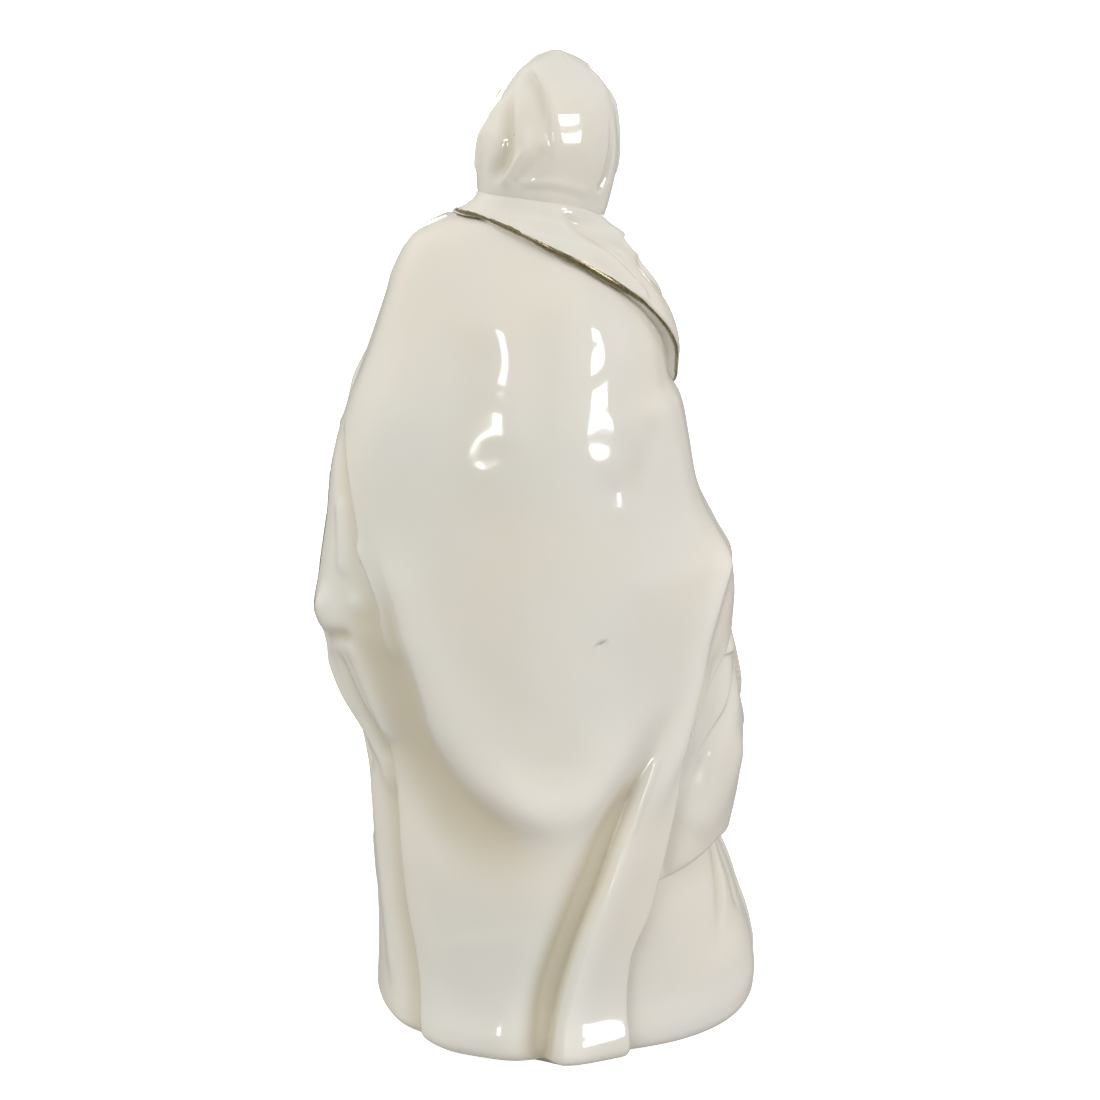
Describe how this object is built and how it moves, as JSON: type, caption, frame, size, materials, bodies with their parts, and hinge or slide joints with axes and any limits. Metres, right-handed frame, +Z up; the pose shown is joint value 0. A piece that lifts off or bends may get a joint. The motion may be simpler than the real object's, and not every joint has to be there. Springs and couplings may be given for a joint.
{
  "type": "madonna statue",
  "caption": "Glazed porcelain standing figure in a veil and long mantle, hollow cast on a flat foot, with gilded edge lines on its drapery.",
  "frame": {"origin": "centre of the bounding box on the plane the foot rests on", "axes": "+Z up, -Y the way the figure faces, +X the figure's left"},
  "size_m": [0.1171, 0.0932, 0.25],
  "materials": {
    "glaze": "warm cream gloss glaze over white porcelain",
    "bisque": "unglazed matt foot",
    "gilt": "worn fired gilding"
  },
  "bodies": {
    "root": {"gown": "glaze", "foot_plate": "bisque", "mantle": "glaze", "front_drape": "glaze", "shawl": "glaze", "veil": "glaze", "head": "glaze", "right_sleeve": "glaze", "left_sleeve": "glaze", "right_hand": "glaze", "left_hand": "glaze", "gilt_shawl": "gilt", "gilt_drape": "gilt", "gilt_mantle_left": "gilt", "gilt_mantle_right": "gilt"}
  },
  "joints": []
}
